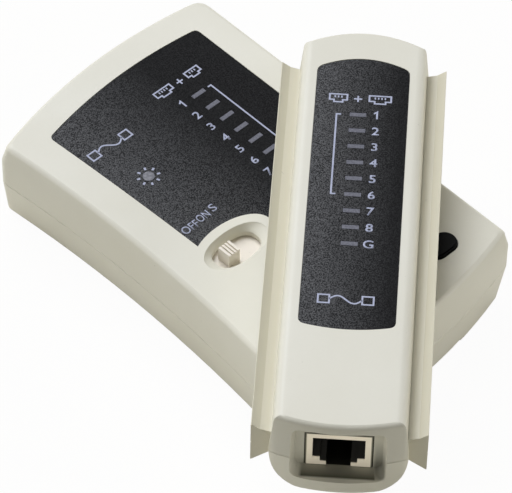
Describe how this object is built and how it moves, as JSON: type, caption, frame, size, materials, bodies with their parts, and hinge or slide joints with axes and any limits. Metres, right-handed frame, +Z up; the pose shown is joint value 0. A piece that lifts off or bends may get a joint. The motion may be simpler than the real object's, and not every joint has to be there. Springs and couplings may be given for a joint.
{
  "type": "network cable tester",
  "caption": "Two-piece LAN cable tester: a flat waisted master unit with slide switch, test button and lamp column, and a narrow railed remote unit lying across it.",
  "frame": {"origin": "centre of the master unit's underside, on the surface it lies on", "axes": "+Z up out of the labelled face, +X to the straight docking side of the master, +Y to its end with the sockets"},
  "size_m": [0.1098, 0.1513, 0.047],
  "materials": {
    "case": "satin",
    "label": "matte",
    "board": "satin",
    "lamp": "gloss",
    "black_plastic": "satin",
    "jack": "gloss",
    "steel": "satin",
    "contact": "bright",
    "battery": "satin",
    "red_lead": "satin",
    "black_lead": "satin",
    "resistor": "gloss",
    "capacitor": "gloss"
  },
  "bodies": {
    "master": {"master_top_shell": "case", "master_bottom_shell": "case", "master_label": "label", "master_pcb": "board", "master_leds": "lamp", "power_led": "lamp", "switch_housing": "steel", "tact_switch": "steel", "master_rj45_jack": "jack", "master_rj45_contacts": "contact", "master_rj11_jack": "jack", "master_rj11_contacts": "contact", "battery": "battery", "battery_snap": "black_plastic", "battery_lead_red": "red_lead", "battery_lead_black": "black_lead", "counter_ic": "black_plastic", "timer_ic": "black_plastic", "master_resistors": "resistor", "capacitor": "capacitor", "master_case_screws": "steel", "master_pcb_screws": "steel"},
    "remote": {"remote_top_shell": "case", "remote_bottom_shell": "case", "remote_label": "label", "remote_pcb": "board", "remote_leds": "lamp", "remote_rj45_jack": "jack", "remote_rj45_contacts": "contact", "remote_rj11_jack": "jack", "remote_rj11_contacts": "contact", "remote_resistors": "resistor", "remote_case_screws": "steel"},
    "switch": {"switch_knob": "case"},
    "button": {"test_button": "black_plastic", "tact_plunger": "black_plastic"},
    "door": {"battery_door": "case"}
  },
  "joints": [
    {"name": "switch_slide", "type": "slide", "parent": "master", "child": "switch", "axis": [1, 0, 0], "range_m": [0, 0.005]},
    {"name": "test_button_press", "type": "slide", "parent": "master", "child": "button", "axis": [0, 0, -1], "range_m": [0, 0.001], "stiffness_N_per_m": 400},
    {"name": "battery_door_slide", "type": "slide", "parent": "master", "child": "door", "axis": [0, -1, 0], "range_m": [0, 0.03]},
    {"name": "remote_lift", "type": "slide", "parent": "master", "child": "remote", "axis": [0, 0, 1], "range_m": [0, 0.08]}
  ]
}
